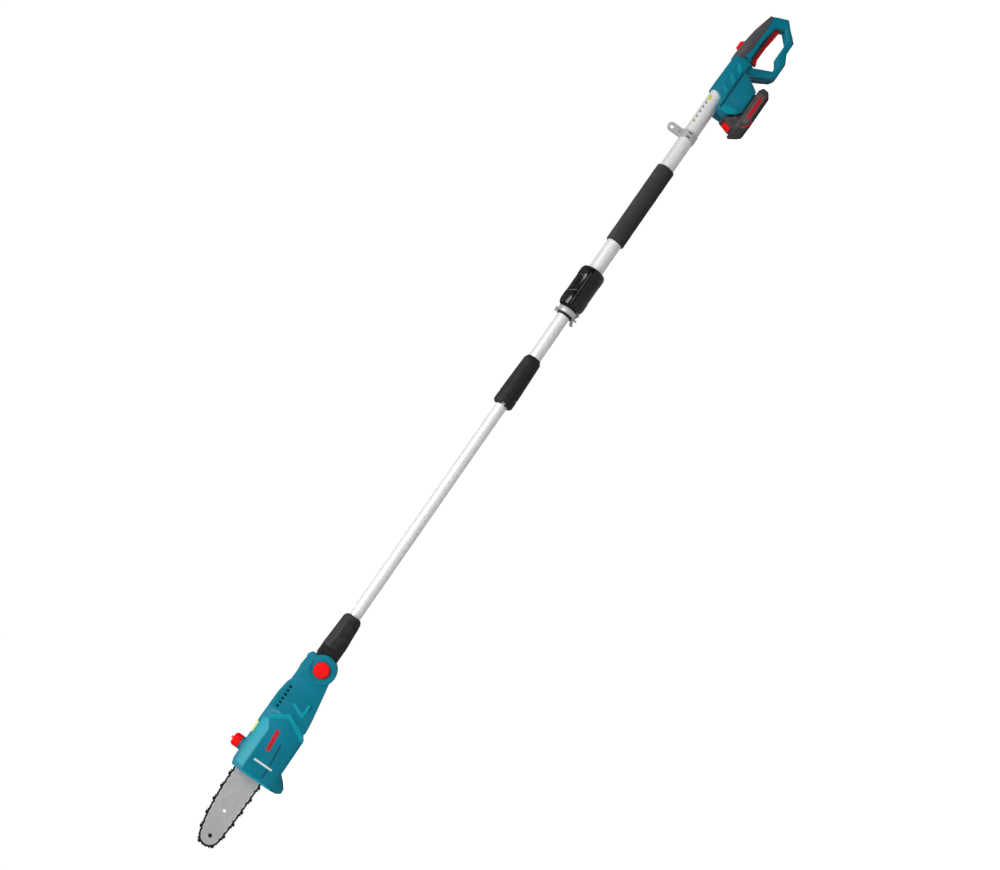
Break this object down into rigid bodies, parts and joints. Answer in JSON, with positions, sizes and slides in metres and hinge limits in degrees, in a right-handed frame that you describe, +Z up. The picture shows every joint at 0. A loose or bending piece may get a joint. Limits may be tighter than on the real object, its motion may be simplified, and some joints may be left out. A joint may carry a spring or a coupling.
{
  "type": "telescoping pole saw",
  "caption": "Cordless telescoping pole saw: tilting chain-bar head, three-section locking pole, foam grip, strap hanger and D-handle with slide-off battery.",
  "frame": {"origin": "bottom centre of the whole saw, lying on the flat base of its battery", "axes": "+X along the pole towards the handle, +Z up, away from the battery, +Y to the sprocket cover side"},
  "size_m": [1.909, 0.075, 0.1458],
  "materials": {
    "teal_shell": "satin moulded teal",
    "black_plastic": "satin moulded black",
    "glossy_black": "glossy moulded black",
    "grey_rubber": "soft-touch grey",
    "black_rubber": "matt black",
    "foam": "closed-cell foam",
    "red_plastic": "glossy red",
    "battery_plastic": "satin dark grey",
    "silver_tube": "satin silver",
    "bar_steel": "satin ground steel",
    "chain_steel": "blued steel",
    "bright_steel": "zinc plated",
    "gear_steel": "oiled steel",
    "motor_metal": "turned steel",
    "cell_wrap": "shrink-wrapped steel cell",
    "board": "coated circuit board",
    "grey_nylon": "grey nylon",
    "clear_tank": "milky tank plastic"
  },
  "bodies": {
    "handle": {"rear_housing_left": "teal_shell", "rear_housing_right": "teal_shell", "body_screws": "bright_steel", "grip_overmould": "grey_rubber", "trigger_pin": "bright_steel", "trigger_spring": "bright_steel", "lock_off_spring": "bright_steel", "power_switch": "black_plastic", "control_board": "board", "terminal_block": "black_plastic", "upper_tube": "silver_tube", "foam_grip": "foam", "hanger_clamp": "bright_steel", "hanger_screw": "bright_steel", "coupling_body_left": "glossy_black", "coupling_body_right": "glossy_black", "split_bush": "grey_nylon", "rubber_ring": "black_rubber", "clamp_collar": "bright_steel", "clamp_bolt": "bright_steel", "power_lead": "black_rubber"},
    "trigger": {"trigger": "red_plastic"},
    "lock_off": {"lock_off_slider": "red_plastic"},
    "battery": {"battery_case_upper": "battery_plastic", "battery_case_lower": "battery_plastic", "battery_cells": "cell_wrap", "latch_spring": "bright_steel"},
    "battery_latch": {"battery_latch": "red_plastic"},
    "wing_nut": {"wing_nut": "bright_steel"},
    "mid_pole": {"mid_tube": "silver_tube", "collet": "grey_nylon"},
    "twist_lock": {"lock_sleeve": "black_plastic"},
    "lower_pole": {"lower_tube": "silver_tube", "knuckle_left": "black_plastic", "knuckle_right": "black_plastic", "knuckle_screws": "bright_steel"},
    "head": {"head_shell_left": "teal_shell", "head_shell_right": "teal_shell", "head_screws": "bright_steel", "sprocket_cover": "teal_shell", "bar_nut": "bright_steel", "bar_stud": "bright_steel", "guide_bar": "bar_steel", "chain_drive_links": "chain_steel", "chain_cutters": "chain_steel", "chain_tie_straps": "chain_steel", "motor_stator": "motor_metal", "gear_plate": "bright_steel", "shaft_bearings": "gear_steel", "oil_tank": "clear_tank", "oil_pump": "motor_metal", "pivot_axle": "bright_steel", "tilt_spring": "bright_steel"},
    "tilt_button": {"tilt_button": "red_plastic"},
    "oil_cap": {"oil_cap": "red_plastic"},
    "motor_rotor": {"motor_rotor": "motor_metal", "pinion": "gear_steel"},
    "drive": {"driven_gear": "gear_steel", "drive_sprocket": "gear_steel"},
    "nose": {"nose_sprocket": "gear_steel"}
  },
  "joints": [
    {"name": "mid_slide", "type": "slide", "parent": "handle", "child": "mid_pole", "axis": [1, 0, 0], "range_m": [0, 0.09], "deforming": ["power_lead"]},
    {"name": "twist_lock_turn", "type": "hinge", "parent": "mid_pole", "child": "twist_lock", "pos_m": [0.059, 0, 0.0865], "axis": [1, 0, 0], "range_deg": [0, 90]},
    {"name": "pole_slide", "type": "slide", "parent": "mid_pole", "child": "lower_pole", "axis": [1, 0, 0], "range_m": [0, 0.45], "deforming": ["power_lead"]},
    {"name": "head_tilt", "type": "hinge", "parent": "lower_pole", "child": "head", "pos_m": [-0.581, 0, 0.08], "axis": [0, 1, 0], "range_deg": [-30, 30]},
    {"name": "tilt_button_press", "type": "slide", "parent": "head", "child": "tilt_button", "axis": [0, 1, 0], "range_m": [0, 0.003], "stiffness_N_per_m": 1500, "deforming": ["tilt_spring"]},
    {"name": "oil_cap_turn", "type": "hinge", "parent": "head", "child": "oil_cap", "pos_m": [-0.767, -0.008, 0.13], "axis": [0, 0, 1], "continuous": true},
    {"name": "drive_spin", "type": "hinge", "parent": "head", "child": "drive", "pos_m": [-0.731, 0, 0.08], "axis": [0, 1, 0], "continuous": true},
    {"name": "motor_spin", "type": "hinge", "parent": "head", "child": "motor_rotor", "pos_m": [-0.6875, 0, 0.08], "axis": [0, 1, 0], "continuous": true},
    {"name": "nose_spin", "type": "hinge", "parent": "head", "child": "nose", "pos_m": [-0.9335, 0, 0.076], "axis": [0, 1, 0], "continuous": true},
    {"name": "trigger_pull", "type": "hinge", "parent": "handle", "child": "trigger", "pos_m": [0.921, 0, 0.07], "axis": [0, 1, 0], "range_deg": [0, 4.5], "stiffness_Nm_per_rad": 3, "springref_deg": -2.86, "deforming": ["trigger_spring"]},
    {"name": "lock_off_push", "type": "slide", "parent": "handle", "child": "lock_off", "axis": [1, 0, 0], "range_m": [0, 0.006], "stiffness_N_per_m": 500, "deforming": ["lock_off_spring"]},
    {"name": "battery_slide", "type": "slide", "parent": "handle", "child": "battery", "axis": [-1, 0, 0], "range_m": [0, 0.11]},
    {"name": "battery_latch_press", "type": "slide", "parent": "battery", "child": "battery_latch", "axis": [1, 0, 0], "range_m": [0, 0.003], "stiffness_N_per_m": 1200, "deforming": ["latch_spring"]},
    {"name": "wing_nut_turn", "type": "hinge", "parent": "handle", "child": "wing_nut", "pos_m": [0.22475, 0.023, 0.07], "axis": [0, 0, 1], "continuous": true}
  ],
  "couplings": [
    {"joint": "motor_spin", "follows": "drive_spin", "ratio": -3.1429},
    {"joint": "nose_spin", "follows": "drive_spin", "ratio": 0.88889}
  ]
}
